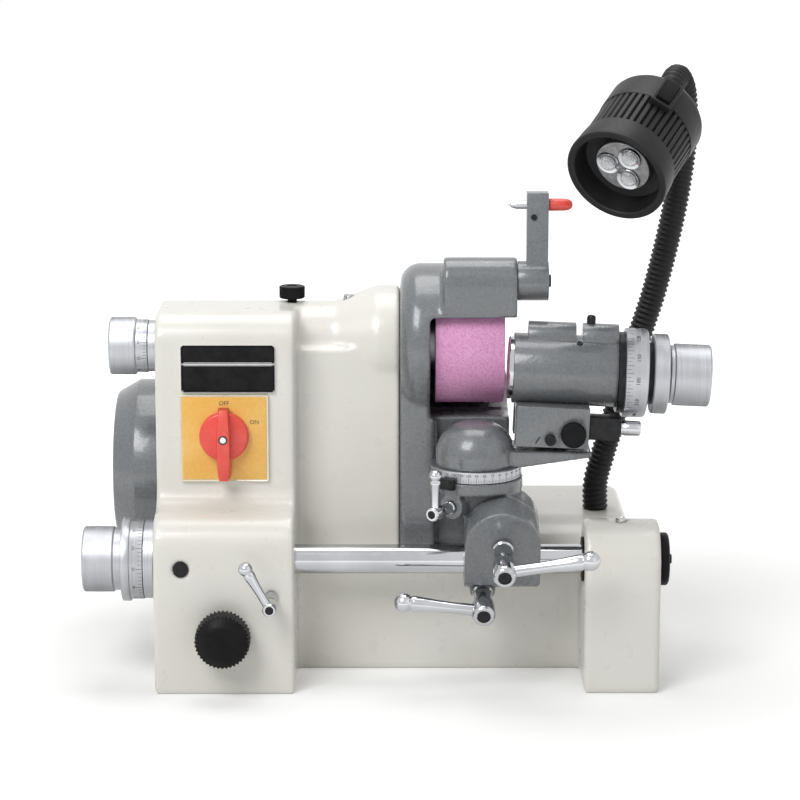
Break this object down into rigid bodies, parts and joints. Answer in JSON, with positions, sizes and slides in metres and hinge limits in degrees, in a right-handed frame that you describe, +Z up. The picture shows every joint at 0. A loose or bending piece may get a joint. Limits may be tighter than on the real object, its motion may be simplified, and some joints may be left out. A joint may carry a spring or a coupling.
{
  "type": "tool and cutter grinder",
  "caption": "Bench tool and cutter grinder with a cup wheel in a guard, a tilting and swivelling collet work head on a slide bar, a wheel dresser and a gooseneck lamp.",
  "frame": {"origin": "on the table, at the middle of the casting's footprint along X, on the bed's cross rib", "axes": "+X along the slide bar to the right as the operator sees it, +Y to the back, +Z up"},
  "size_m": [0.4486, 0.2744, 0.4381],
  "materials": {
    "ivory_paint": "semi-gloss enamel",
    "hammer_paint": "hammer-tone enamel",
    "steel": "turned and ground",
    "chrome": "polished",
    "black_oxide": "blackened",
    "black_plastic": "satin",
    "red_plastic": "gloss",
    "switch_yellow": "gloss",
    "plate_black": "printed",
    "abrasive": "vitrified open grain",
    "belt_rubber": "matte",
    "led_face": "clear lenses",
    "lamp_black": "satin"
  },
  "bodies": {
    "machine": {"column": "ivory_paint", "spindle_housing": "ivory_paint", "bed": "ivory_paint", "end_bracket": "ivory_paint", "rear_cover": "ivory_paint", "motor_cover": "hammer_paint", "motor_stator": "steel", "nameplate": "plate_black", "switch_plate": "switch_yellow", "switch_body": "black_plastic", "wheel_guard": "hammer_paint", "feed_sleeves": "steel", "bar_seal": "black_plastic", "end_cap": "black_plastic", "socket_screws": "black_oxide", "oilers": "steel", "drive_belt": "belt_rubber", "lamp_hose": "black_plastic", "lamp_housing": "lamp_black", "lamp_bezel": "lamp_black", "led_module": "led_face"},
    "rocker": {"lamp_rocker": "black_plastic"},
    "quill_unit": {"quill": "steel", "spindle_bearings": "steel"},
    "wheel_spindle": {"spindle_shaft": "steel", "wheel_flange": "steel", "grinding_wheel": "abrasive", "wheel_nut": "steel", "spindle_pulley": "steel"},
    "motor_rotor": {"motor_shaft": "steel", "motor_pulley": "steel"},
    "spindle_feed": {"spindle_feed_knob": "steel"},
    "quill_lock": {"thumb_screw": "black_plastic"},
    "dresser": {"dresser_arm": "hammer_paint"},
    "dresser_slide": {"dresser_rod": "steel", "dresser_cap": "red_plastic"},
    "switch": {"switch_handle": "red_plastic"},
    "column_clamp": {"column_lever": "chrome"},
    "stop": {"stop_knob": "black_plastic"},
    "bar_feed": {"bar_feed_drum": "steel", "bar_feed_knob": "steel"},
    "bar_thrust": {"thrust_sleeve": "steel"},
    "bar": {"slide_bar": "chrome"},
    "bracket": {"bar_bracket": "hammer_paint"},
    "bar_clamp": {"bar_lever": "chrome"},
    "tilt_clamp": {"tilt_lever": "chrome"},
    "tilt_unit": {"tilt_bracket": "hammer_paint", "swivel_pointer": "black_oxide"},
    "swivel_clamp": {"swivel_lever": "chrome"},
    "swivel_unit": {"swivel_arm": "hammer_paint", "swivel_ring": "steel"},
    "head": {"head_block": "hammer_paint", "head_barrel": "hammer_paint", "index_bracket": "black_oxide"},
    "block_clamp": {"block_knob": "black_plastic"},
    "work_unit": {"work_spindle": "steel", "index_dial": "steel", "collet": "steel"},
    "drawbar": {"drawbar_knob": "steel"},
    "index": {"index_pin": "chrome"}
  },
  "joints": [
    {"name": "spindle_feed_turn", "type": "hinge", "parent": "machine", "child": "spindle_feed", "pos_m": [-0.2, -0.046, 0.24], "axis": [1, 0, 0], "range_deg": [-1446, 366]},
    {"name": "quill_feed", "type": "slide", "parent": "machine", "child": "quill_unit", "axis": [1, 0, 0], "range_m": [-0.004, 0.001]},
    {"name": "wheel_spin", "type": "hinge", "parent": "quill_unit", "child": "wheel_spindle", "pos_m": [0, -0.008, 0.2375], "axis": [1, 0, 0], "continuous": true},
    {"name": "motor_spin", "type": "hinge", "parent": "machine", "child": "motor_rotor", "pos_m": [-0.14, 0.052, 0.13], "axis": [1, 0, 0], "continuous": true},
    {"name": "quill_lock_turn", "type": "hinge", "parent": "machine", "child": "quill_lock", "pos_m": [-0.0838, -0.008, 0.266], "axis": [0, 0, 1], "range_deg": [-180, 180]},
    {"name": "dresser_swing", "type": "hinge", "parent": "machine", "child": "dresser", "pos_m": [0.079, -0.04, 0.2863], "axis": [1, 0, 0], "range_deg": [-110, 0]},
    {"name": "dresser_feed", "type": "slide", "parent": "dresser", "child": "dresser_slide", "axis": [1, 0, 0], "range_m": [0, 0.006]},
    {"name": "switch_turn", "type": "hinge", "parent": "machine", "child": "switch", "pos_m": [-0.1305, -0.07, 0.18], "axis": [0, 1, 0], "range_deg": [0, 60]},
    {"name": "column_clamp_turn", "type": "hinge", "parent": "machine", "child": "column_clamp", "pos_m": [-0.096, -0.115, 0.072], "axis": [0, 1, 0], "range_deg": [-40, 60]},
    {"name": "stop_turn", "type": "hinge", "parent": "machine", "child": "stop", "pos_m": [-0.13, -0.115, 0.045], "axis": [0, 1, 0], "range_deg": [-180, 180]},
    {"name": "bar_feed_turn", "type": "hinge", "parent": "machine", "child": "bar_feed", "pos_m": [-0.2, -0.085, 0.092], "axis": [1, 0, 0], "range_deg": [-186, 1806]},
    {"name": "bar_feed_slide", "type": "slide", "parent": "machine", "child": "bar_thrust", "axis": [1, 0, 0], "range_m": [-0.0005, 0.005]},
    {"name": "bar_swing", "type": "hinge", "parent": "bar_thrust", "child": "bar", "pos_m": [0, -0.085, 0.092], "axis": [1, 0, 0], "range_deg": [-3, 40]},
    {"name": "bracket_slide", "type": "slide", "parent": "bar", "child": "bracket", "axis": [1, 0, 0], "range_m": [-0.0004, 0.02]},
    {"name": "bar_clamp_turn", "type": "hinge", "parent": "bracket", "child": "bar_clamp", "pos_m": [0.054, -0.08034, 0.07461], "axis": [0, 0.9659, 0.2588], "range_deg": [-20, 40]},
    {"name": "tilt_clamp_turn", "type": "hinge", "parent": "bracket", "child": "tilt_clamp", "pos_m": [0.0675, -0.09121, 0.11518], "axis": [0, 0.9659, 0.2588], "range_deg": [-30, 25]},
    {"name": "tilt", "type": "hinge", "parent": "bracket", "child": "tilt_unit", "pos_m": [0.0675, -0.09121, 0.11518], "axis": [0, 0.9659, 0.2588], "range_deg": [-0.5, 18]},
    {"name": "swivel_clamp_turn", "type": "hinge", "parent": "tilt_unit", "child": "swivel_clamp", "pos_m": [0.03098, -0.10083, 0.13405], "axis": [-0.5299, -0.848, 0], "range_deg": [-30, 30]},
    {"name": "swivel", "type": "hinge", "parent": "tilt_unit", "child": "swivel_unit", "pos_m": [0.049, -0.072, 0.151], "axis": [0, 0, 1], "range_deg": [-60, 0]},
    {"name": "block_tilt", "type": "hinge", "parent": "swivel_unit", "child": "head", "pos_m": [0.10414, -0.056, 0.18273], "axis": [0, 1, 0], "range_deg": [-1.2, 4]},
    {"name": "block_clamp_turn", "type": "hinge", "parent": "head", "child": "block_clamp", "pos_m": [0.11791, -0.086, 0.18413], "axis": [0, 1, 0], "range_deg": [-180, 180]},
    {"name": "work_spin", "type": "hinge", "parent": "head", "child": "work_unit", "pos_m": [0.076, -0.056, 0.226], "axis": [0.999, 0, -0.0436], "continuous": true},
    {"name": "drawbar_turn", "type": "hinge", "parent": "work_unit", "child": "drawbar", "pos_m": [0.18769, -0.056, 0.22112], "axis": [0.999, 0, -0.0436], "range_deg": [-180, 180]},
    {"name": "index_pull", "type": "slide", "parent": "head", "child": "index", "axis": [0.999, 0, -0.0436], "range_m": [0, 0.005], "stiffness_N_per_m": 200},
    {"name": "rocker_tip", "type": "hinge", "parent": "machine", "child": "rocker", "pos_m": [0.18037, -0.0781, 0.42378], "axis": [0.8484, -0.1688, -0.5017], "range_deg": [-6, 6]}
  ],
  "couplings": [
    {"joint": "spindle_feed_turn", "follows": "quill_feed", "rad_per_m": 6283.2},
    {"joint": "bar_feed_turn", "follows": "bar_feed_slide", "rad_per_m": 6283.2},
    {"joint": "motor_spin", "follows": "wheel_spin", "ratio": 0.72727}
  ]
}
